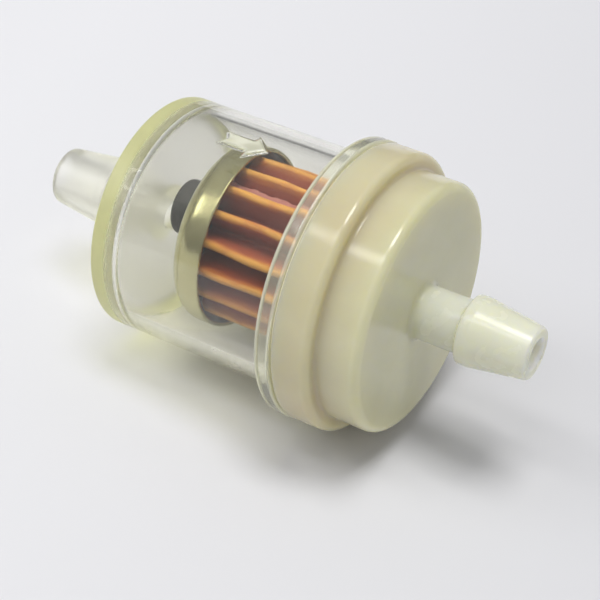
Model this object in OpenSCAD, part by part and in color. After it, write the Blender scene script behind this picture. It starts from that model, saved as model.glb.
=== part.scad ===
// In-line fuel filter for a small engine.
// A clear bowl with the inlet nipple is cemented at its flange to a moulded
// outlet cap. Inside is a pleated paper element between two pressed steel
// end caps, sealed on the outlet spigot by a rubber grommet, with a disc
// magnet held on the closed end.
// +X is the flow direction and the axis of the filter, +Z is up (the side
// with the flow arrow). The origin is on the axis at mid-length.

/* [Hose ends] */
// Length from the inlet tip to the outlet tip
overall_l = 56.5; // [56:0.5:60]
// Length of the inlet nipple from the bowl's end face to its tip
inlet_l = 12.8; // [12.2:0.1:13.6]
// Diameter of both nipples behind their barbs
stem_d = 5.6; // [5.2:0.1:6]
// Diameter at the widest land of the inlet barb
inlet_barb_d = 7.7; // [7.2:0.1:8.2]
// Diameter at the tip of the inlet barb's cone
inlet_tip_d = 6.2; // [5.4:0.1:6.6]
// Diameter at the widest land of the outlet barb
outlet_barb_d = 7.2; // [6.8:0.1:8.2]
// Diameter at the tip of the outlet barb's cone
outlet_tip_d = 5.4; // [5:0.1:6]
// Length of a barb from its shoulder to the tip
barb_l = 7.2; // [6.5:0.1:8]
// Length of the straight land at a barb's widest point
land_l = 1; // [0.8:0.1:1.4]
// Bore of both nipples
bore_d = 3; // [2.6:0.1:3.4]

/* [Bowl] */
// Outside diameter of the clear bowl
bowl_d = 25.4; // [25:0.1:26.4]
// Wall thickness of the bowl
bowl_wall = 1.4; // [1:0.1:1.5]
// Length of the bowl from its end face to the joint face
bowl_l = 22.8; // [22.6:0.1:23.6]
// Thickness of the bowl's end wall
end_t = 1.7; // [1.4:0.1:2]
// Diameter of the bowl's joint flange
flange_d = 29.6; // [29:0.1:30.5]
// Thickness of the bowl's joint flange
flange_t = 1.7; // [1.2:0.1:2.4]

/* [Flow arrow] */
// Length of the raised arrow
arrow_l = 5.6; // [4:0.1:8]
// Width of the arrow's head
arrow_w = 4.3; // [3:0.1:5]
// Height of the arrow above the bowl
arrow_h = 0.35; // [0.2:0.05:0.5]
// Turn of the arrow about the axis, away from the very top
arrow_turn = 3; // [0:1:20]

/* [Outlet cap] */
// Diameter of the cap's joint ring
ring_d = 29.4; // [28.6:0.1:30]
// Width of the cap's joint ring
ring_t = 3.95; // [3.5:0.05:4.5]
// Diameter of the cap's body
cap_d = 26.2; // [25.4:0.1:27]
// Length of the cap from the joint face to its end face
cap_l = 8.5; // [8.2:0.05:9]
// Wall thickness of the cap's end face
cap_face_t = 2; // [1.5:0.1:2.1]
// Thickness of the cement in the joint
joint_t = 0.15; // [0.1:0.05:0.2]

/* [Element] */
// Number of pleats
pleats = 18; // [16:1:20]
// Diameter over the pleats
pleat_od = 17.6; // [17:0.1:18]
// Diameter inside the pleats
pleat_id = 10.2; // [10.1:0.1:10.6]
// Thickness of the filter paper
paper_t = 0.4; // [0.3:0.05:0.45]
// Width of one pleat across its fold
fold_w = 1.3; // [1.2:0.1:1.4]
// Diameter of the pressed end caps
endcap_d = 19.4; // [19.2:0.1:19.8]
// Sheet thickness of the end caps
sheet_t = 0.4; // [0.3:0.05:0.45]
// Corner radius of the closed end cap
closed_r = 2.4; // [2:0.1:2.6]
// Skirt depth of the closed end cap
closed_depth = 4; // [3.6:0.1:4.4]
// Skirt depth of the open end cap
open_depth = 3.7; // [3.2:0.1:4.2]

/* [Magnet] */
// Diameter of the magnet
magnet_d = 6.0; // [5:0.1:7]
// Thickness of the magnet
magnet_t = 4.2; // [3:0.1:4.4]
// Height of the magnet's centre above the axis
magnet_up = 1.2; // [0:0.1:2]

/* [Hidden] */

// stations along the axis
x_in = -overall_l/2;             // inlet tip
x_out = overall_l/2;             // outlet tip
x_bowl = x_in + inlet_l;         // bowl's end face
x_end = x_bowl + end_t;          // inner side of the end wall
x_joint = x_bowl + bowl_l;       // joint face of the bowl
x_fl = x_joint - flange_t;       // back of the bowl's flange
x_cap = x_joint + joint_t;       // joint face of the cap
x_ring = x_cap + ring_t;         // far side of the joint ring
x_face = x_cap + cap_l;          // end face of the cap
x_in_face = x_face - cap_face_t; // inner side of the cap's end face
x_bi = x_in + barb_l;            // shoulder of the inlet barb
x_bo = x_out - barb_l;           // shoulder of the outlet barb

// radii
bore_r = bore_d/2;
stem_r = stem_d/2;
in_barb_r = inlet_barb_d/2;
in_tip_r = inlet_tip_d/2;
out_barb_r = outlet_barb_d/2;
out_tip_r = outlet_tip_d/2;
bowl_r = bowl_d/2;
bowl_ri = bowl_r - bowl_wall;
flange_r = flange_d/2;
ring_r = ring_d/2;
cap_r = cap_d/2;
reg_r = bowl_ri - 0.05;          // register that centres the cap in the bowl
cav_r = reg_r - 0.85;            // cavity of the cap
reg_l = 0.6;                     // length of the register
spig_r = 2.7;                    // spigot inside the cap
spig_l = 3;                      // length of the spigot

// element, from the magnet side to the grommet
x_co = x_end + 5.55;             // outer face of the closed end cap
x_ci = x_co + sheet_t;
x_pa = x_ci + 1.2;               // where the paper starts
x_oo = x_in_face - 1.3;          // outer face of the open end cap
x_oi = x_oo - sheet_t;
x_pb = x_oi - 1.2;               // where the paper ends
ec_r = endcap_d/2;
pr = pleat_od/2;
pi_r = pleat_id/2;
core_r = pi_r - 0.2;
core_t = 0.3;
hole_r = 3.5;                    // hole of the open end cap

// arc in a lathe profile: centre (radius c, station x), radius r, n steps
function arc(c, x, r, a0, a1, n=6) =
    [for (i = [0:n]) let (a = a0 + (a1 - a0)*i/n) [c + r*cos(a), x + r*sin(a)]];

// solid of revolution about X from points [radius, station]
module lathe(pts, fn=128) rotate([0, 90, 0]) rotate_extrude($fn=fn) polygon(pts);

// hose nipple's outside from its root to its tip, as [radius, distance from root]
function nipple(l, barb_r, tip_r, f=0.5) = concat(
    arc(stem_r + f, f, f, -90, -180, 4),
    [[stem_r, l - barb_l - 0.3], [barb_r, l - barb_l + 0.1], [barb_r, l - barb_l + 0.1 + land_l],
     [tip_r, l - 0.3], [tip_r - 0.3, l], [bore_r, l]]);

// arrow outline, tail at the left end
module arrow_shape() {
    h = arrow_l*0.41;
    s = arrow_w*0.25;
    polygon([[0, -s], [arrow_l - h, -s], [arrow_l - h, -arrow_w/2], [arrow_l, 0],
             [arrow_l - h, arrow_w/2], [arrow_l - h, s], [0, s], [s*0.6, 0]]);
}

// clear bowl with its end wall, flange, inlet nipple and flow arrow
module inlet_bowl() {
    color([0.90, 0.91, 0.80, 0.35])
    union() {
        lathe(concat(
            [for (p = nipple(inlet_l, in_barb_r, in_tip_r)) [p[0], x_bowl - p[1]]],
            [[bore_r, x_end]],
            arc(bowl_ri - 1, x_end + 1, 1, -90, 0, 5),
            [[bowl_ri, x_joint], [flange_r - 0.25, x_joint], [flange_r, x_joint - 0.25],
             [flange_r, x_fl + 0.35], [flange_r - 0.35, x_fl]],
            arc(bowl_r + 0.4, x_fl - 0.4, 0.4, 90, 180, 4),
            arc(bowl_r - 0.3, x_bowl + 0.3, 0.3, 0, -90, 4)));
        // arrow, raised on the bowl's top and pointing to the outlet
        intersection() {
            rotate([arrow_turn, 0, 0])
                translate([x_bowl + 8.3, 0, 0])
                    linear_extrude(height=bowl_r + 5) arrow_shape();
            rotate([0, 90, 0]) difference() {
                cylinder(h=overall_l, r=bowl_r + arrow_h, center=true, $fn=128);
                cylinder(h=overall_l + 1, r=bowl_r - 0.5, center=true, $fn=128);
            }
        }
    }
}

// moulded outlet cap: joint ring, body, end face, nipple, inner spigot
module outlet_cap() {
    color([0.86, 0.85, 0.72])
    lathe(concat(
        [[bore_r, x_in_face - spig_l], [spig_r - 0.3, x_in_face - spig_l],
         [spig_r, x_in_face - spig_l + 0.3], [spig_r, x_in_face]],
        arc(cav_r - 0.8, x_in_face - 0.8, 0.8, 90, 0, 4),
        [[cav_r, x_cap - reg_l], [reg_r, x_cap - reg_l], [reg_r, x_cap],
         [ring_r - 0.3, x_cap], [ring_r, x_cap + 0.3]],
        arc(ring_r - 0.8, x_ring - 0.8, 0.8, 0, 90, 5),
        arc(cap_r + 0.35, x_ring + 0.35, 0.35, -90, -180, 4),
        arc(cap_r - 0.9, x_face - 0.9, 0.9, 0, 90, 6),
        [for (p = nipple(x_out - x_face, out_barb_r, out_tip_r)) [p[0], x_face + p[1]]]));
}

// film of cement between the flange and the cap
module joint_cement() {
    color([0.93, 0.92, 0.80])
    lathe([[bowl_ri + 0.05, x_joint], [flange_r - 0.45, x_joint],
           [flange_r - 0.45, x_cap], [bowl_ri + 0.05, x_cap]]);
}

// pressed dish; s is the side that its skirt faces, h the radius of its hole
module dish(x, s, h, rc, depth) {
    lathe(concat(
        [[h, x]],
        arc(ec_r - rc, x + s*rc, rc, -90*s, 0, 8),
        [[ec_r, x + s*depth], [ec_r - sheet_t, x + s*depth]],
        arc(ec_r - rc, x + s*rc, rc - sheet_t, 0, -90*s, 8),
        [[h, x + s*sheet_t]]));
}

// adhesive bed inside a dish: a floor under the paper and a rim around it
module bed(x, s, h, rc, rim) {
    lathe(concat(
        [[h, x + s*sheet_t]],
        arc(ec_r - rc, x + s*rc, rc - sheet_t, -90*s, 0, 8),
        [[ec_r - sheet_t, x + s*rim], [pr + 0.04, x + s*rim],
         [pr + 0.04, x + s*(sheet_t + 1.2)], [h, x + s*(sheet_t + 1.2)]]));
}

module closed_end_cap() color([0.68, 0.68, 0.50]) dish(x_co, 1, 0, closed_r, closed_depth);
module open_end_cap() color([0.68, 0.68, 0.50]) dish(x_oo, -1, hole_r, 1.6, open_depth);
module closed_end_adhesive() color([0.20, 0.16, 0.15]) bed(x_co, 1, 0, closed_r, closed_depth - 0.7);
module open_end_adhesive() color([0.20, 0.16, 0.15]) bed(x_oo, -1, core_r - core_t + 0.2, 1.6, open_depth - 0.6);

// geometry of one pleat: outer fold centred at p_c1, inner fold at p_c2
p_a = fold_w/2;
p_b = p_a - 0.1;
p_c1 = pr - p_a;
p_c2 = pi_r + p_b;
p_h = 180/pleats;
p_ex = p_c2*cos(p_h) - p_c1;
p_ey = p_c2*sin(p_h);
p_d = sqrt(p_ex*p_ex + p_ey*p_ey);
p_s = (p_a + p_b - paper_t)/p_d;
p_k = sqrt(1 - p_s*p_s);
p_al = atan2(p_ey*p_s - p_ex*p_k, p_ex*p_s + p_ey*p_k);
p_first = 1.5;                   // turn of the first pleat from the top

// one side of the paper, as a closed outline round the axis
function side(r1, r2) = [for (i = [0:pleats - 1]) let (t = p_first + 2*p_h*i) each concat(
    [for (k = [0:8]) let (a = t + p_al*(k/4 - 1)) [p_c1*cos(t) + r1*cos(a), p_c1*sin(t) + r1*sin(a)]],
    [for (k = [0:4]) let (v = t + p_h, a = v + 180 + (p_al - p_h)*(1 - k/2))
        [p_c2*cos(v) + r2*cos(a), p_c2*sin(v) + r2*sin(a)]])];

// turns a shape drawn with x up and y towards -Y into an extrusion along +X
module along(x0, x1) translate([x0, 0, 0]) rotate([0, 90, 0]) rotate([0, 0, 180])
    linear_extrude(height=x1 - x0) children();

// pleated filter paper
module pleated_paper() {
    color([0.80, 0.55, 0.26])
    along(x_pa, x_pb) difference() {
        polygon(side(p_a, p_b - paper_t));
        polygon(side(p_a - paper_t, p_b));
    }
}

// bead of cement in the one valley where the ends of the paper meet
module pleat_seam_bead() {
    color([0.62, 0.38, 0.34])
    along(x_pa, x_pb) rotate([0, 0, p_first + p_h])
        polygon([[p_c2 + 0.25, -0.16], [p_c2 + 1.5, -0.4], [p_c2 + 1.5, 0.4], [p_c2 + 0.25, 0.16]]);
}

// perforated tube that holds the pleats open from the inside
module core_tube() {
    color([0.72, 0.72, 0.66])
    difference() {
        lathe([[core_r - core_t, x_pa], [core_r, x_pa], [core_r, x_pb], [core_r - core_t, x_pb]], 96);
        for (j = [0:5], k = [0:2])
            translate([x_pa + 2.3 + j*(x_pb - x_pa - 4.6)/5, 0, 0]) rotate([30 + k*60 + (j%2)*30, 0, 0])
                cylinder(h=pleat_id + 4, r=0.8, center=true, $fn=32);
    }
}

// rubber grommet that seals the open end cap on the spigot
module outlet_grommet() {
    color([0.10, 0.10, 0.10])
    lathe([[spig_r, x_oi - 0.7], [hole_r + 0.6, x_oi - 0.7], [hole_r + 0.8, x_oi - 0.5], [hole_r + 0.8, x_oi],
           [hole_r, x_oi], [hole_r, x_oo], [hole_r + 1.7, x_oo], [hole_r + 1.7, x_in_face - 0.2],
           [hole_r + 1.5, x_in_face], [spig_r, x_in_face]], 96);
}

// disc magnet on the closed end cap
module magnet() {
    color([0.29, 0.29, 0.32])
    translate([0, 0, magnet_up])
        lathe([[0, x_co], [magnet_d/2, x_co], [magnet_d/2, x_co - magnet_t + 0.3],
               [magnet_d/2 - 0.3, x_co - magnet_t], [0, x_co - magnet_t]], 96);
}

inlet_bowl();
outlet_cap();
joint_cement();
closed_end_cap();
open_end_cap();
pleated_paper();
pleat_seam_bead();
core_tube();
closed_end_adhesive();
open_end_adhesive();
outlet_grommet();
magnet();
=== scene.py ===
import math
import bpy
import numpy as np
from mathutils import Matrix, Vector


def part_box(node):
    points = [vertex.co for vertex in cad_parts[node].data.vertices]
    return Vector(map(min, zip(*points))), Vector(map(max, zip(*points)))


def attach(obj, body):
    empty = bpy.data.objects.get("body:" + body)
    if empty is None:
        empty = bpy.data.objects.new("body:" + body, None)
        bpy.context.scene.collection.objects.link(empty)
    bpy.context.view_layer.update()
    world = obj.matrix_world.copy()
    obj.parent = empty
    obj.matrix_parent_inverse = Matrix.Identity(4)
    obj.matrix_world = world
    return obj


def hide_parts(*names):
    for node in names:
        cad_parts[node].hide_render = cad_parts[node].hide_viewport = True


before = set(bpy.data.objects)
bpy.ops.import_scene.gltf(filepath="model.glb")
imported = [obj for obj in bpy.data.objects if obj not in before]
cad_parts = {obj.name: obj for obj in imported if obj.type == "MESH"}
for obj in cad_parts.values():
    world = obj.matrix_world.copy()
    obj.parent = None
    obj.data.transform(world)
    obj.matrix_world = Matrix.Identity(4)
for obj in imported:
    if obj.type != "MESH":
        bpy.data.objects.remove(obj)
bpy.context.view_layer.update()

sc = bpy.context.scene
MM = 0.001
pi = math.pi


def lo(n): return [v * 1000 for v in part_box(n)[0]]
def hi(n): return [v * 1000 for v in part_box(n)[1]]


# ---------------------------------------------------------------- stations and radii, in mm, from the frame
X_IN = lo("inlet_bowl")[0]
X_JOINT = hi("inlet_bowl")[0]
R_FL = hi("inlet_bowl")[1]
X_OUT = hi("outlet_cap")[0]
R_RING = hi("outlet_cap")[1]
X_CAP = hi("joint_cement")[0]
R_CEM = hi("joint_cement")[1]
X_CO = lo("closed_end_cap")[0]
X_CS = hi("closed_end_cap")[0]
R_EC = hi("closed_end_cap")[1]
X_PA = lo("pleated_paper")[0]
X_PB = hi("pleated_paper")[0]
R_PL = hi("pleated_paper")[2]
M_LO, M_HI = lo("magnet"), hi("magnet")
X_BOWL = X_IN + 12.8
X_END = X_BOWL + 1.7
X_FL = X_JOINT - 1.7
R_BOWL, R_BI = 12.7, 11.3
R_BORE, R_STEM = 1.5, 2.8
X_RING = X_CAP + 3.95
X_FACE = X_CAP + 8.5
X_INF = X_FACE - 2.0
R_CAP, R_CAV = 13.1, 10.4

# ---------------------------------------------------------------- camera
AZ, EL, ROLL = math.radians(32.074), math.radians(38.773), math.radians(0.122)
rgt0 = Vector((math.cos(AZ), math.sin(AZ), 0))
bck = Vector((math.sin(AZ) * math.cos(EL), -math.cos(AZ) * math.cos(EL), math.sin(EL)))
upv0 = bck.cross(rgt0)
rgt = rgt0 * math.cos(ROLL) + upv0 * math.sin(ROLL)
upv = upv0 * math.cos(ROLL) - rgt0 * math.sin(ROLL)
cam_d = bpy.data.cameras.new("camera")
cam = bpy.data.objects.new("camera", cam_d)
sc.collection.objects.link(cam)
m = Matrix.Identity(4)
for i in range(3):
    m[i][0], m[i][1], m[i][2] = rgt[i], upv[i], bck[i]
m.translation = Vector((69.385, -108.036, 97.640)) * MM
cam.matrix_world = m
cam_d.sensor_width = 36
cam_d.lens = 1571.6 / 600 * 36
cam_d.clip_start = 0.005
cam_d.clip_end = 20
sc.camera = cam


# ---------------------------------------------------------------- mesh tools
def fillet(pts, n=7, sup=0.07):
    """Corners (x, r, radius) of an open or closed profile; returns points (x, r) with round corners and support points beside them."""
    out = []
    N = len(pts)
    for i, p in enumerate(pts):
        P = np.array(p[:2], float)
        rad = p[2] if len(p) > 2 else 0
        A = np.array(pts[i - 1][:2], float)
        B = np.array(pts[(i + 1) % N][:2], float)
        if rad <= 0:
            out.append(P)
            continue
        a = A - P; la = np.linalg.norm(a); a /= la
        b = B - P; lb = np.linalg.norm(b); b /= lb
        th = math.acos(max(-1, min(1, float(a @ b))))
        L = rad / math.tan(th / 2)
        bis = (a + b) / np.linalg.norm(a + b)
        C = P + bis * rad / math.sin(th / 2)
        s, e = P + a * L, P + b * L
        if L + sup < la * 0.6:
            out.append(P + a * (L + sup))
        a0 = math.atan2(*(s - C)[::-1]); a1 = math.atan2(*(e - C)[::-1])
        d = (a1 - a0 + pi) % (2 * pi) - pi
        for k in range(n + 1):
            t = a0 + d * k / n
            out.append(C + rad * np.array([math.cos(t), math.sin(t)]))
        if L + sup < lb * 0.6:
            out.append(P + b * (L + sup))
    return [tuple(q) for q in out]


def densify(prof, step):
    """Adds points on long straight runs so that no run is longer than step."""
    out = []
    for i, p in enumerate(prof):
        q = prof[(i + 1) % len(prof)]
        out.append(p)
        L = math.dist(p, q)
        k = int(L // step)
        for j in range(1, k + 1):
            if k:
                t = j / (k + 1)
                out.append((p[0] + (q[0] - p[0]) * t, p[1] + (q[1] - p[1]) * t))
    return out


def make(name, verts, faces, mats, smooth=True, body="root"):
    me = bpy.data.meshes.new(name)
    me.from_pydata([tuple(c * MM for c in v) for v in verts], [], faces)
    me.validate(clean_customdata=False)
    me.update()
    if smooth:
        me.polygons.foreach_set("use_smooth", [True] * len(me.polygons))
    for mt in (mats if isinstance(mats, (list, tuple)) else [mats]):
        me.materials.append(mt)
    ob = bpy.data.objects.new(name, me)
    sc.collection.objects.link(ob)
    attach(ob, body)
    return ob


def revolve(prof, angs, bump=None, closed=True):
    """Closed profile (x, r) turned about X. angs are the angles from +Z towards -Y. bump(x, r, ang) gives a radial step."""
    P = np.array(prof, float)
    n, s = len(P), len(angs)
    A = np.array(angs)
    X = np.repeat(P[:, 0][:, None], s, 1)
    R = np.repeat(P[:, 1][:, None], s, 1)
    if bump is not None:
        R = R + bump(X, R, A[None, :])
    Y, Z = -R * np.sin(A), R * np.cos(A)
    verts = np.stack([X, Y, Z], -1).reshape(-1, 3)
    faces = []
    for i in range(n if closed else n - 1):
        j = (i + 1) % n
        z0, z1 = P[i, 1] < 1e-6, P[j, 1] < 1e-6
        for k in range(s):
            l = (k + 1) % s
            a, b, c, d = i * s + k, i * s + l, j * s + l, j * s + k
            if z0 and z1:
                continue
            if z0:
                faces.append((i * s, c, d))
            elif z1:
                faces.append((a, b, j * s))
            else:
                faces.append((a, b, c, d))
    return verts, faces


def ring_angs(n):
    return [2 * pi * k / n for k in range(n)]


def tidy(ob, flip=None):
    """Drops loose points and makes the normals point out."""
    import bmesh
    bm = bmesh.new()
    bm.from_mesh(ob.data)
    loose = [v for v in bm.verts if not v.link_faces]
    bmesh.ops.delete(bm, geom=loose, context="VERTS")
    bmesh.ops.recalc_face_normals(bm, faces=bm.faces)
    bm.to_mesh(ob.data)
    bm.free()
    ob.data.update()


# ---------------------------------------------------------------- materials
def nodes(name):
    mt = bpy.data.materials.new(name)
    mt.use_nodes = True
    nt = mt.node_tree
    p = nt.nodes["Principled BSDF"]
    return mt, nt, p, nt.nodes["Material Output"]


def N(nt, kind, **kw):
    n = nt.nodes.new(kind)
    for k, v in kw.items():
        if k.startswith("i_"):
            n.inputs[int(k[2:]) if k[2:].isdigit() else k[2:].replace("_", " ")].default_value = v
        else:
            setattr(n, k, v)
    return n


def coords(nt, scale=(1, 1, 1)):
    t = N(nt, "ShaderNodeTexCoord")
    mp = N(nt, "ShaderNodeMapping")
    mp.inputs["Scale"].default_value = scale
    nt.links.new(t.outputs["Object"], mp.inputs["Vector"])
    return mp.outputs["Vector"]


def noise(nt, vec, scale, detail=4, rough=0.5, dist=0.0):
    n = N(nt, "ShaderNodeTexNoise")
    n.inputs["Scale"].default_value = scale
    n.inputs["Detail"].default_value = detail
    n.inputs["Roughness"].default_value = rough
    n.inputs["Distortion"].default_value = dist
    nt.links.new(vec, n.inputs["Vector"])
    return n.outputs["Fac"]


def ramp(nt, fac, stops):
    r = N(nt, "ShaderNodeValToRGB")
    e = r.color_ramp.elements
    while len(e) < len(stops):
        e.new(0.5)
    for el, (pos, col) in zip(e, stops):
        el.position = pos
        el.color = (*col, 1) if len(col) == 3 else col
    nt.links.new(fac, r.inputs["Fac"])
    return r.outputs["Color"]


def rng(nt, fac, a, b, lo_=0.0, hi_=1.0):
    r = N(nt, "ShaderNodeMapRange")
    r.inputs["From Min"].default_value = lo_
    r.inputs["From Max"].default_value = hi_
    r.inputs["To Min"].default_value = a
    r.inputs["To Max"].default_value = b
    nt.links.new(fac, r.inputs["Value"])
    return r.outputs["Result"]


def bump(nt, p, height, strength, dist, prev=None):
    b = N(nt, "ShaderNodeBump")
    b.inputs["Strength"].default_value = strength
    b.inputs["Distance"].default_value = dist
    nt.links.new(height, b.inputs["Height"])
    if prev is not None:
        nt.links.new(prev, b.inputs["Normal"])
    return b.outputs["Normal"]


def add(nt, a, b, op="ADD"):
    n = N(nt, "ShaderNodeMath", operation=op)
    nt.links.new(a, n.inputs[0])
    nt.links.new(b, n.inputs[1])
    return n.outputs[0]


def times(nt, a, k):
    n = N(nt, "ShaderNodeMath", operation="MULTIPLY")
    nt.links.new(a, n.inputs[0])
    n.inputs[1].default_value = k
    return n.outputs[0]


def mixc(nt, fac, a, b):
    n = N(nt, "ShaderNodeMix", data_type="RGBA")
    nt.links.new(fac, n.inputs[0])
    for i, c in ((6, a), (7, b)):
        if isinstance(c, tuple):
            n.inputs[i].default_value = (*c, 1)
        else:
            nt.links.new(c, n.inputs[i])
    return n.outputs[2]


def axial(nt):
    """Station along X and distance from the axis, both in metres, of the surface point."""
    t = N(nt, "ShaderNodeTexCoord")
    sx = N(nt, "ShaderNodeSeparateXYZ")
    nt.links.new(t.outputs["Object"], sx.inputs[0])
    ml = N(nt, "ShaderNodeVectorMath", operation="MULTIPLY")
    nt.links.new(t.outputs["Object"], ml.inputs[0])
    ml.inputs[1].default_value = (0, 1, 1)
    ln = N(nt, "ShaderNodeVectorMath", operation="LENGTH")
    nt.links.new(ml.outputs[0], ln.inputs[0])
    return sx.outputs["X"], ln.outputs["Value"]


def mat_clear():
    """Clear moulding: glossy on the bowl, hazier at the thick end wall, in the nipple, at the flange and on the arrow."""
    mt, nt, p, out = nodes("clear_plastic")
    p.inputs["IOR"].default_value = 1.5
    v = coords(nt)
    n1 = noise(nt, v, 260, 3)
    x, r = axial(nt)
    end = rng(nt, x, 1.0, 0.0, (X_END - 0.1) * MM, (X_END + 0.6) * MM)
    inner = add(nt, rng(nt, x, 1.0, 0.0, (X_END + 0.5) * MM, (X_END + 3.5) * MM), rng(nt, r, 1.0, 0.0, 11.5 * MM, 12.2 * MM), "MULTIPLY")
    body = rng(nt, x, 0.0, 1.0, (X_BOWL - 0.5) * MM, (X_BOWL + 0.1) * MM)
    band = add(nt, add(nt, end, body, "MULTIPLY"), rng(nt, r, 0.0, 1.0, 12.0 * MM, 12.5 * MM), "MULTIPLY")
    high = rng(nt, r, 0.0, 1.0, (R_BOWL + 0.02) * MM, (R_BOWL + 0.18) * MM)
    bore = add(nt, end, rng(nt, r, 1.0, 0.0, 1.55 * MM, 2.2 * MM), "MULTIPLY")
    back = add(nt, rng(nt, x, 0.0, 1.0, (X_FL - 0.6) * MM, (X_FL - 0.4) * MM), rng(nt, x, 1.0, 0.0, (X_FL + 0.3) * MM, (X_FL + 0.5) * MM), "MULTIPLY")
    front = rng(nt, x, 0.0, 1.0, (X_JOINT - 0.35) * MM, (X_JOINT - 0.2) * MM)
    edge = add(nt, high, add(nt, back, front, "MAXIMUM"), "MULTIPLY")
    base = mixc(nt, high, (0.995, 0.99, 0.975), (0.985, 0.985, 0.80))
    nt.links.new(mixc(nt, band, base, (0.98, 0.98, 0.50)), p.inputs["Base Color"])
    acc = add(nt, add(nt, rng(nt, n1, 0.02, 0.06, 0.35, 0.7), times(nt, add(nt, end, inner, "MAXIMUM"), 0.30)), times(nt, bore, 0.25))
    nt.links.new(add(nt, acc, times(nt, high, 0.10)), p.inputs["Roughness"])
    clear = add(nt, rng(nt, n1, 0.99, 0.98, 0.35, 0.7), times(nt, end, -0.06))
    clear = add(nt, clear, times(nt, band, -0.28))
    arrow = add(nt, high, rng(nt, x, 1.0, 0.0, (X_FL - 1.0) * MM, (X_FL - 0.8) * MM), "MULTIPLY")
    clear = add(nt, clear, add(nt, times(nt, high, -0.22), times(nt, arrow, -0.22)))
    clear = add(nt, clear, times(nt, edge, -0.30))
    nt.links.new(add(nt, clear, times(nt, bore, -0.05)), p.inputs["Transmission Weight"])
    n2 = noise(nt, v, 120, 2)
    nt.links.new(bump(nt, p, n2, 0.03, 0.0002), p.inputs["Normal"])
    ab = N(nt, "ShaderNodeVolumeAbsorption")
    ab.inputs["Color"].default_value = (0.90, 0.89, 0.50, 1)
    ab.inputs["Density"].default_value = 34
    nt.links.new(ab.outputs["Volume"], out.inputs["Volume"])
    lp = N(nt, "ShaderNodeLightPath")
    tr = N(nt, "ShaderNodeBsdfTransparent")
    tr.inputs["Color"].default_value = (0.71, 0.71, 0.63, 1)
    mx = N(nt, "ShaderNodeMixShader")
    nt.links.new(lp.outputs["Is Shadow Ray"], mx.inputs[0])
    nt.links.new(p.outputs["BSDF"], mx.inputs[1])
    nt.links.new(tr.outputs["BSDF"], mx.inputs[2])
    nt.links.new(mx.outputs["Shader"], out.inputs["Surface"])
    return mt


def mat_cream():
    """Cream moulding: warm and mottled in the thick cap; the end face is painted paler as painted light, the thin
    outlet nipple paler still as a painted glow of light through its wall, and the bore near-white as painted light that
    hides the shade in the hole.
    """
    mt, nt, p, out = nodes("cream_plastic")
    v = coords(nt)
    n1 = noise(nt, v, 90, 4, 0.55)
    body = ramp(nt, n1, [(0.30, (0.635, 0.56, 0.365)), (0.5, (0.66, 0.605, 0.40)), (0.72, (0.685, 0.64, 0.44))])
    x, r = axial(nt)
    # Painted light: the end face, and the cap side as it nears the face, are painted paler and greener than the cap,
    # brightening the face beyond what the lamps give it.
    face = ramp(nt, n1, [(0.30, (0.655, 0.635, 0.405)), (0.5, (0.69, 0.67, 0.45)), (0.72, (0.72, 0.70, 0.485))])
    body = mixc(nt, rng(nt, x, 0.0, 1.0, (X_RING + 0.5) * MM, (X_FACE - 0.2) * MM), body, face)
    # Painted glow: the thin outlet nipple is painted paler, standing in for light passing through its thin wall.
    thin = rng(nt, x, 0.0, 1.0, (X_FACE - 0.1) * MM, (X_FACE + 1.3) * MM)
    col = mixc(nt, thin, body, (0.80, 0.80, 0.64))
    # Painted light: the bore lining, within 1.6 mm of the axis, is painted near-white so the shade inside the hole does
    # not show.
    nt.links.new(mixc(nt, rng(nt, r, 1.0, 0.0, 1.6 * MM, 1.9 * MM), col, (0.93, 0.93, 0.83)), p.inputs["Base Color"])
    p.inputs["Subsurface Weight"].default_value = 1.0
    p.inputs["Subsurface Radius"].default_value = (1.0, 0.9, 0.5)
    p.inputs["Subsurface Scale"].default_value = 0.0036
    p.inputs["IOR"].default_value = 1.53
    n2 = noise(nt, v, 500, 2, 0.5)
    n3 = noise(nt, v, 160, 1)
    nt.links.new(add(nt, rng(nt, n2, 0.11, 0.20, 0.3, 0.7), times(nt, thin, 0.10)), p.inputs["Roughness"])
    nt.links.new(bump(nt, p, n3, 0.16, 0.0002), p.inputs["Normal"])
    return mt


def mat_simple(name, stops, rough, metallic=0.0, scale=300, bump_s=0.2, bump_d=0.0001, spec=None, stretch=(1, 1, 1), sss=0):
    mt, nt, p, out = nodes(name)
    v = coords(nt, stretch)
    n1 = noise(nt, v, scale, 5, 0.6)
    nt.links.new(ramp(nt, n1, stops), p.inputs["Base Color"])
    n2 = noise(nt, v, scale * 3.1, 4, 0.6)
    nt.links.new(rng(nt, n2, rough[0], rough[1], 0.3, 0.7), p.inputs["Roughness"])
    p.inputs["Metallic"].default_value = metallic
    nt.links.new(bump(nt, p, n2, bump_s, bump_d), p.inputs["Normal"])
    if sss:
        p.inputs["Subsurface Weight"].default_value = 0.5
        p.inputs["Subsurface Radius"].default_value = (1, 0.5, 0.3)
        p.inputs["Subsurface Scale"].default_value = sss
    return mt


CLEAR = mat_clear()
CREAM = mat_cream()
CEMENT = mat_simple("cement", [(0.3, (0.78, 0.74, 0.58)), (0.7, (0.86, 0.83, 0.70))], (0.12, 0.3), scale=700)
ZINC = mat_simple("plated_steel", [(0.3, (0.475, 0.45, 0.235)), (0.5, (0.53, 0.505, 0.28)), (0.7, (0.58, 0.56, 0.34))], (0.20, 0.26), 1.0, scale=160, bump_s=0.03)


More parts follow.
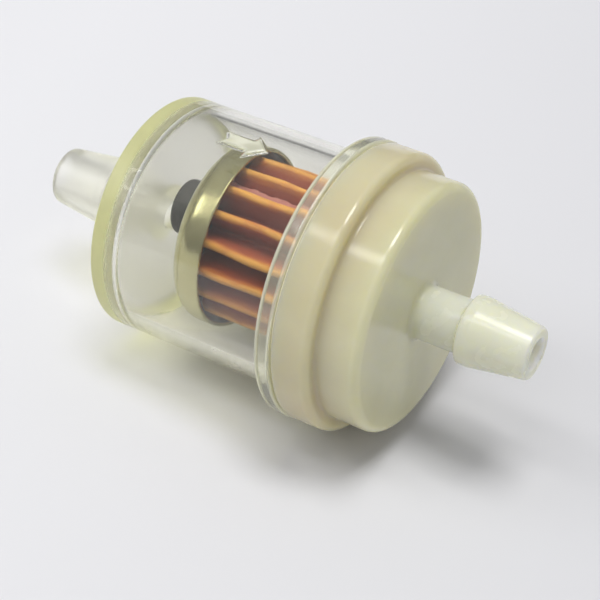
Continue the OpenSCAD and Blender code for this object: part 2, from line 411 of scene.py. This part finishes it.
def mat_paper():
    """Resin-cured orange-brown paper, coloured by distance from the axis: painted light makes the outer folds golden
    and painted shade makes the valleys redder and darker.
    """
    mt, nt, p, out = nodes("filter_paper")
    v = coords(nt, (0.5, 1, 1))
    n1 = noise(nt, v, 700, 5, 0.6)
    t = N(nt, "ShaderNodeTexCoord")
    sb = N(nt, "ShaderNodeVectorMath", operation="SUBTRACT")
    nt.links.new(t.outputs["Object"], sb.inputs[0])
    sb.inputs[1].default_value = (0, 0.00028, 0.00042)
    ml = N(nt, "ShaderNodeVectorMath", operation="MULTIPLY")
    nt.links.new(sb.outputs[0], ml.inputs[0])
    ml.inputs[1].default_value = (0, 1, 1)
    ln = N(nt, "ShaderNodeVectorMath", operation="LENGTH")
    nt.links.new(ml.outputs[0], ln.inputs[0])
    # Painted light and shade: depth from the fold crests (0) down into the valleys drives the colour below.
    h = rng(nt, ln.outputs["Value"], 0.0, 0.9, 0.0052, 0.0087)
    ad = N(nt, "ShaderNodeMath", operation="MULTIPLY_ADD")
    nt.links.new(n1, ad.inputs[0])
    ad.inputs[1].default_value = 0.22
    nt.links.new(h, ad.inputs[2])
    # Dark red-brown low stops are painted shade in the valleys; golden high stops are painted light on the fold crests.
    col = ramp(nt, ad.outputs[0], [(0.25, (0.27, 0.05, 0.03)), (0.79, (0.32, 0.066, 0.026)), (0.93, (0.48, 0.16, 0.032)), (1.0, (0.62, 0.30, 0.055))])
    nt.links.new(col, p.inputs["Base Color"])
    n2 = noise(nt, v, 2600, 4, 0.6)
    nt.links.new(rng(nt, n2, 0.55, 0.8, 0.3, 0.7), p.inputs["Roughness"])
    nt.links.new(bump(nt, p, n2, 0.5, 0.0001), p.inputs["Normal"])
    return mt


PAPER = mat_paper()
SEAM = mat_simple("seam_cement", [(0.3, (0.36, 0.12, 0.11)), (0.7, (0.46, 0.19, 0.17))], (0.6, 0.75), scale=500)
# Near-black adhesive: the glue's own dark colour, also standing in as painted shade for the gap between the closed cap
# and the pleats.
ADHESIVE_AND_SHADE = mat_simple("dark_adhesive", [(0.3, (0.020, 0.014, 0.014)), (0.7, (0.045, 0.03, 0.028))], (0.25, 0.45), scale=600, bump_s=0.4)
MAGNET = mat_simple("ferrite", [(0.3, (0.035, 0.035, 0.039)), (0.7, (0.056, 0.056, 0.062))], (0.4, 0.6), scale=1500, bump_s=0.5)
RUBBER = mat_simple("rubber", [(0.3, (0.012, 0.012, 0.012)), (0.7, (0.03, 0.03, 0.03))], (0.5, 0.7), scale=900)
STEEL = mat_simple("core_steel", [(0.3, (0.48, 0.48, 0.42)), (0.7, (0.62, 0.62, 0.56))], (0.25, 0.4), 1.0, scale=700)


# ---------------------------------------------------------------- clear bowl, with its nipple, flange and raised arrow
def nipple_corners(x0, s):
    """Corners of a nipple's outside from its root at x0; s is the way it points."""
    tip, rb, rt = (X_OUT, 3.6, 2.7) if s > 0 else (X_IN, 3.85, 3.1)
    sh = tip - s * 7.2
    return [(x0, R_STEM, 0.5), (sh - s * 0.25, R_STEM, 0.15), (sh + s * 0.1, rb, 0.3), (sh + s * 1.1, rb, 1.2),
            (tip, rt, 0.3)]


ARROW_T = math.radians(3)


def arrow_height(X, R, A):
    """Radial step of the raised flow arrow on the outside of the bowl."""
    L, W, H = 5.6, 4.3, 0.26
    h, s = L * 0.41, W * 0.25
    poly = np.array([(0, -s), (L - h, -s), (L - h, -W / 2), (L, 0), (L - h, W / 2), (L - h, s), (0, s), (s * 0.6, 0)])
    poly[:, 0] += X_BOWL + 8.3
    U = X + 0 * A
    V = R_BOWL * ((A - ARROW_T + pi) % (2 * pi) - pi) + 0 * X
    inside = np.zeros(U.shape, bool)
    dist = np.full(U.shape, 1e9)
    n = len(poly)
    for i in range(n):
        a, b = poly[i], poly[(i + 1) % n]
        e = b - a
        t = np.clip(((U - a[0]) * e[0] + (V - a[1]) * e[1]) / (e @ e), 0, 1)
        dist = np.minimum(dist, np.hypot(U - a[0] - t * e[0], V - a[1] - t * e[1]))
        c = ((a[1] > V) != (b[1] > V))
        with np.errstate(divide="ignore", invalid="ignore"):
            xi = (b[0] - a[0]) * (V - a[1]) / (b[1] - a[1]) + a[0]
        inside ^= c & (U < xi)
    d = np.where(inside, dist, -dist)
    t = np.clip((d + 0.02) / 0.5, 0, 1)
    return H * (t * t * (3 - 2 * t)) * (np.abs(R - R_BOWL) < 0.02)


outer = [(X_IN, R_BORE, 0.25)] + nipple_corners(X_BOWL, -1)[::-1] + [
    (X_BOWL, R_BOWL, 0.3), (X_FL, R_BOWL, 0.4), (X_FL, R_FL, 0.35), (X_JOINT - 0.01, R_FL, 0.25),
    (X_JOINT - 0.01, R_BI, 0.1), (X_END, R_BI, 1.6), (X_END, R_BORE, 0.5)]
prof = fillet(outer)
dense = []
for i, p in enumerate(prof):
    q = prof[(i + 1) % len(prof)]
    dense.append(p)
    if abs(p[1] - R_BOWL) < 1e-6 and abs(q[1] - R_BOWL) < 1e-6 and abs(q[0] - p[0]) > 5:
        xs = list(np.arange(X_BOWL + 0.8, X_BOWL + 7.8, 0.8)) + list(np.arange(X_BOWL + 7.9, X_BOWL + 14.4, 0.09)) + list(np.arange(X_BOWL + 14.8, X_FL - 0.8, 0.8))
        dense += [(x, R_BOWL) for x in xs]
fine = [math.radians(a) for a in np.arange(-10, 16.01, 0.42)]
rest = [math.radians(a) for a in np.linspace(16.01, 350, 235)[1:-1]]
v, f = revolve(dense, fine + rest, arrow_height)
bowl = make("bowl", v, f, CLEAR)
tidy(bowl)
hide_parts("inlet_bowl")

# ---------------------------------------------------------------- outlet cap
capc = [(X_INF - 3, R_BORE, 0.15), (X_INF - 3, 2.7, 0.3), (X_INF, 2.7, 0.2), (X_INF, R_CAV, 0.8), (X_CAP - 0.6, R_CAV, 0.15),
        (X_CAP - 0.6, R_BI - 0.05, 0.15), (X_CAP + 0.01, R_BI - 0.05, 0), (X_CAP + 0.01, R_RING, 0.3), (X_RING, R_RING, 0.8),
        (X_RING, R_CAP, 0.35), (X_FACE, R_CAP, 0.9)] + nipple_corners(X_FACE, 1) + [(X_OUT, R_BORE, 0.3)]
v, f = revolve(densify(fillet(capc), 0.9), ring_angs(288))
capo = make("cap", v, f, CREAM)
tidy(capo)
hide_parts("outlet_cap")

# ---------------------------------------------------------------- cement line
rs = np.random.RandomState(3)
ph = rs.rand(8) * 2 * pi


def cement_bump(X, R, A):
    return (R > R_CEM - 0.3) * 0.10 * sum(np.sin(A * k + ph[k - 2]) / 4 for k in (3, 5, 7, 9)) - 0.06 * (R > R_CEM - 0.3)


v, f = revolve(fillet([(X_JOINT - 0.04, R_BI + 0.05, 0.03), (X_JOINT - 0.04, R_CEM, 0.06), (X_CAP - 0.003, R_CEM, 0.06), (X_CAP - 0.003, R_BI + 0.05, 0.03)], 3, 0.02), ring_angs(256), cement_bump)
cem = make("cement_line", v, f, CEMENT)
tidy(cem)
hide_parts("joint_cement")

# ---------------------------------------------------------------- element: it sits a little off the axis
EL_OFF = Vector((0, 0.28, 0.42))
PIV = Vector((X_PB, 0, 0))


def seat(ob, off=EL_OFF, ty=0.0, tz=0.0):
    """Shifts an element piece's points by the element's small offset."""
    for vv in ob.data.vertices:
        c = vv.co / MM
        d = c.x - X_CS
        c += off + Vector((0, ty * d, tz * d))
        vv.co = c * MM


def dish_prof(x, s, depth, rc, hole, t=0.4):
    return [(x, hole, 0.08 if hole else 0), (x, R_EC, rc), (x + s * depth, R_EC, 0.14), (x + s * depth, R_EC - t, 0.14),
            (x + s * t, R_EC - t, rc - t), (x + s * t, hole, 0.08 if hole else 0)]


v, f = revolve(densify(fillet(dish_prof(X_CO, 1, X_CS - X_CO, 2.4, 0), 12), 1.0), ring_angs(224))
ccap = make("closed_cap", v, f, ZINC)
tidy(ccap)
seat(ccap)
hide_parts("closed_end_cap")

# ---------------------------------------------------------------- pleats
NP = 18
ANG = [1.5, 21.3, 40.2, 61.8, 81.0, 100.8, 121.5, 141, 161.5, 181.2, 201, 221.8, 241.2, 260.8, 281.5, 301.6, 321.2, 341.4]
rs = np.random.RandomState(11)
T = 0.36
RA, RB = 0.42, 0.58


def section(x):
    """Centre line and normals of the paper at station x, as points (angle from +Z towards -Y is the plane's own angle)."""
    u = (x - X_PA) / (X_PB - X_PA)
    c1, c2 = [], []
    for i in range(NP):
        a = math.radians(ANG[i]) + 0.010 * math.sin(5 * u + i * 1.7) + 0.006 * math.sin(13 * u + i * 2.9)
        ro = R_PL - RA - 0.10 + 0.07 * math.sin(i * 2.3) + 0.05 * math.sin(7 * u + i * 1.1) - 0.06 * abs(math.sin(4.3 * u * 2 + i))
        c1.append(np.array([math.cos(a), math.sin(a)]) * ro)
    for i in range(NP):
        a0, a1 = ANG[i], ANG[(i + 1) % NP] + (360 if i == NP - 1 else 0)
        a = math.radians((a0 + a1) / 2) + 0.012 * math.sin(4 * u + i * 2.1)
        c2.append(np.array([math.cos(a), math.sin(a)]) * (5.1 + RB + 0.05 + 0.05 * math.sin(i * 1.9 + 3 * u)))
    ra, rb = RA - T / 2, RB - T / 2

    def tang(A_, B_, side):
        e = B_ - A_; d = np.linalg.norm(e); e = e / d
        s = (ra + rb) / d
        pe = np.array([e[1], -e[0]]) * side
        n = e * s + pe * math.sqrt(1 - s * s)
        return n
    cen, nor = [], []
    for i in range(NP):
        o = c1[i]
        nprev = tang(o, c2[i - 1], -1)
        nnext = tang(o, c2[i], 1)
        a0, a1 = math.atan2(nprev[1], nprev[0]), math.atan2(nnext[1], nnext[0])
        d = (a1 - a0) % (2 * pi)
        for k in range(11):
            t = a0 + d * k / 10
            nv = np.array([math.cos(t), math.sin(t)])
            cen.append(o + ra * nv); nor.append(nv)
        w = c2[i]
        p0, p1 = o + ra * nnext, w - rb * nnext
        for k in range(1, 6):
            t = k / 6
            sag = 0.05 * math.sin(pi * t) * math.sin(i * 1.3 + 6 * u)
            cen.append(p0 + (p1 - p0) * t + nnext * sag); nor.append(nnext)
        nn = tang(c1[(i + 1) % NP], w, -1)
        a0, a1 = math.atan2(-nnext[1], -nnext[0]), math.atan2(-nn[1], -nn[0])
        d = -((a0 - a1) % (2 * pi))
        for k in range(7):
            t = a0 + d * k / 6
            nv = np.array([math.cos(t), math.sin(t)])
            cen.append(w + rb * nv); nor.append(-nv)
        q0, q1 = w - rb * nn, c1[(i + 1) % NP] + ra * nn
        for k in range(1, 6):
            t = k / 6
            sag = 0.05 * math.sin(pi * t) * math.sin(i * 2.3 + 5 * u + 1)
            cen.append(q0 + (q1 - q0) * t + nn * sag); nor.append(nn)
    return np.array(cen), np.array(nor)


stations = np.linspace(X_PA, X_PB, 73)
rows = []
for x in stations:
    c, n = section(x)
    o_, i_ = c + n * T / 2, c - n * T / 2
    rows.append((x, o_, i_))
M = len(rows[0][1])
verts, faces = [], []
for x, o_, i_ in rows:
    verts += [(x, -p[1], p[0]) for p in o_]
    verts += [(x, -p[1], p[0]) for p in i_]
for r in range(len(rows) - 1):
    a, b = r * 2 * M, (r + 1) * 2 * M
    for k in range(M):
        l = (k + 1) % M
        faces.append((a + k, a + l, b + l, b + k))
        faces.append((a + M + k, b + M + k, b + M + l, a + M + l))
for base in (0, (len(rows) - 1) * 2 * M):
    for k in range(M):
        l = (k + 1) % M
        faces.append((base + k, base + M + k, base + M + l, base + l))
paper = make("paper", verts, faces, PAPER)
tidy(paper)
seat(paper)
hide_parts("pleated_paper")

# ---------------------------------------------------------------- adhesive in the closed cap: near-black glue, its darkness also painted shade for the gap between cap and pleats
rs = np.random.RandomState(5)
pa = rs.rand(12) * 2 * pi


def gl_bump(X, R, A):
    return 0 * X


v, f = revolve(densify(fillet([(X_CO + 0.41, 0, 0), (X_CO + 0.41, R_EC - 0.41, 1.98), (X_CS - 0.55, R_EC - 0.41, 0.1), (X_CS - 0.75, R_PL + 0.02, 0.12), (X_CS - 1.3, R_PL - 0.6, 0.3), (X_CO + 2.1, 5.5, 0.3), (X_CO + 2.0, 0, 0)], 6), 0.6), ring_angs(200))
adh = make("closed_adhesive", v, f, ADHESIVE_AND_SHADE)
me = adh.data
for vv in me.vertices:
    x, y, z = vv.co / MM
    if x > X_CO + 1.5:
        a = math.atan2(-y, z)
        vv.co.x += MM * 0.10 * (math.sin(9 * a + pa[0]) + math.sin(17 * a + pa[1]) * 0.6 + math.sin(5 * a + pa[2]) * 0.8) * 0.6
tidy(adh)
seat(adh)
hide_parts("closed_end_adhesive")

# ---------------------------------------------------------------- seam bead in one valley
sa = math.radians(11.4)
verts, faces = [], []
K = 40
for j in range(K + 1):
    x = X_PA + (X_PB - X_PA) * j / K
    top = 7.35 + 0.10 * math.sin(j * 0.9) + 0.07 * math.sin(j * 2.3 + 1)
    for (r_, w_) in ((6.0, -0.18), (6.7, -0.34), (top - 0.15, -0.42), (top, -0.2), (top, 0.2), (top - 0.15, 0.42), (6.7, 0.34), (6.0, 0.18)):
        yy = r_ * math.sin(sa) + w_ * math.cos(sa)
        zz = r_ * math.cos(sa) - w_ * math.sin(sa)
        verts.append((x, -yy, zz))
for j in range(K):
    for k in range(8):
        l = (k + 1) % 8
        faces.append((j * 8 + k, j * 8 + l, (j + 1) * 8 + l, (j + 1) * 8 + k))
faces.append(tuple(range(8)))
faces.append(tuple(range(K * 8 + 7, K * 8 - 1, -1)))
seam = make("seam_bead", verts, faces, SEAM)
tidy(seam)
seat(seam)
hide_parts("pleat_seam_bead")

# ---------------------------------------------------------------- magnet
mr = (M_HI[1] - M_LO[1]) / 2
mz = (M_HI[2] + M_LO[2]) / 2
v, f = revolve(densify(fillet([(M_HI[0] - 0.01, 0, 0), (M_HI[0] - 0.01, mr, 0.12), (M_LO[0], mr, 0.35), (M_LO[0], 0, 0)], 5), 0.5), ring_angs(128))
v = np.array(v) + [0, 0, mz]
mag = make("magnet_disc", v, f, MAGNET)
tidy(mag)
seat(mag)
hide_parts("magnet")

# ---------------------------------------------------------------- CAD nodes that stay
for n, mt in (("open_end_cap", ZINC), ("core_tube", STEEL), ("open_end_adhesive", ADHESIVE_AND_SHADE), ("outlet_grommet", RUBBER)):
    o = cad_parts[n]
    o.data.materials.clear()
    o.data.materials.append(mt)

# ---------------------------------------------------------------- floor: the filter lies on its flange and on the bowl's end rim
tilt = math.atan2(R_FL - R_BOWL, (X_FL + 0.9) - (X_BOWL + 0.3))
nf = Vector((math.sin(tilt), 0, math.cos(tilt)))
p0 = Vector((X_FL + 0.9, 0, -R_FL)) * MM
fl_me = bpy.data.meshes.new("floor")
e1 = Vector((math.cos(tilt), 0, -math.sin(tilt)))
e2 = Vector((0, 1, 0))
S = 3.0
fl_me.from_pydata([p0 + e1 * a * S + e2 * b * S - nf * 0.00005 for a, b in ((-1, -1), (1, -1), (1, 1), (-1, 1))], [], [(0, 1, 2, 3)])
floor = bpy.data.objects.new("floor", fl_me)
sc.collection.objects.link(floor)
fm, nt, p, out = nodes("floor")
v_ = coords(nt)
nn_ = noise(nt, v_, 12, 2)
# Painted light falloff: the floor colour darkens and cools from the -X side towards +X, standing in for light falling
# off across the table; the noise adds uneven tone.
dt = N(nt, "ShaderNodeVectorMath", operation="DOT_PRODUCT")
nt.links.new(v_, dt.inputs[0])
dt.inputs[1].default_value = (1, 0.2, 0)
g_ = rng(nt, dt.outputs["Value"], 0.0, 0.85, -0.05, 0.05)
ga = N(nt, "ShaderNodeMath", operation="MULTIPLY_ADD")
nt.links.new(nn_, ga.inputs[0])
ga.inputs[1].default_value = 0.15
nt.links.new(g_, ga.inputs[2])
nt.links.new(ramp(nt, ga.outputs[0], [(0.0, (0.845, 0.845, 0.87)), (1.0, (0.70, 0.70, 0.725))]), p.inputs["Base Color"])
p.inputs["Roughness"].default_value = 0.75
p.inputs["Specular IOR Level"].default_value = 0.2
fl_me.materials.append(fm)

# ---------------------------------------------------------------- light: a soft room, brighter overhead, and two long ceiling softboxes
w = bpy.data.worlds.new("world")
sc.world = w
w.use_nodes = True
wt = w.node_tree
bg = wt.nodes["Background"]
bg.inputs["Strength"].default_value = 1.0
wc = N(wt, "ShaderNodeTexCoord")
wx = N(wt, "ShaderNodeSeparateXYZ")
wt.links.new(wc.outputs["Generated"], wx.inputs[0])
wt.links.new(ramp(wt, wx.outputs["Z"], [(0.0, (0.16, 0.162, 0.168)), (1.0, (0.47, 0.475, 0.49))]), bg.inputs["Color"])


def area(name, direc, dist, sx, sy, watts, col=(1, 1, 1)):
    """A rectangular lamp in direction direc, long side along X, facing the filter."""
    d = bpy.data.lights.new(name, "AREA")
    d.shape = "RECTANGLE"
    d.size, d.size_y = sx, sy
    d.energy = watts
    d.color = col
    o = bpy.data.objects.new(name, d)
    sc.collection.objects.link(o)
    z = Vector(direc).normalized()
    x = (Vector((1, 0, 0)) - z * z.x).normalized()
    y = z.cross(x)
    mm = Matrix.Identity(4)
    for i in range(3):
        mm[i][0], mm[i][1], mm[i][2] = x[i], y[i], z[i]
    mm.translation = z * dist
    o.matrix_world = mm
    return o


area("panel_overhead", (0.15, 0.0, 0.99), 1.5, 0.60, 0.44, 10.7, (1, 0.995, 0.98))
area("panel_front", (-0.13, -0.35, 0.93), 1.5, 0.95, 0.20, 3.7, (1, 0.99, 0.97))
area("window", (-0.66, -0.38, 0.64), 1.5, 0.50, 0.50, 3.0, (0.98, 0.99, 1))

sc.view_settings.view_transform = "Standard"
sc.cycles.max_bounces = 32
sc.cycles.glossy_bounces = 20
sc.cycles.transmission_bounces = 32
sc.cycles.diffuse_bounces = 5
sc.cycles.sample_clamp_indirect = 3.0
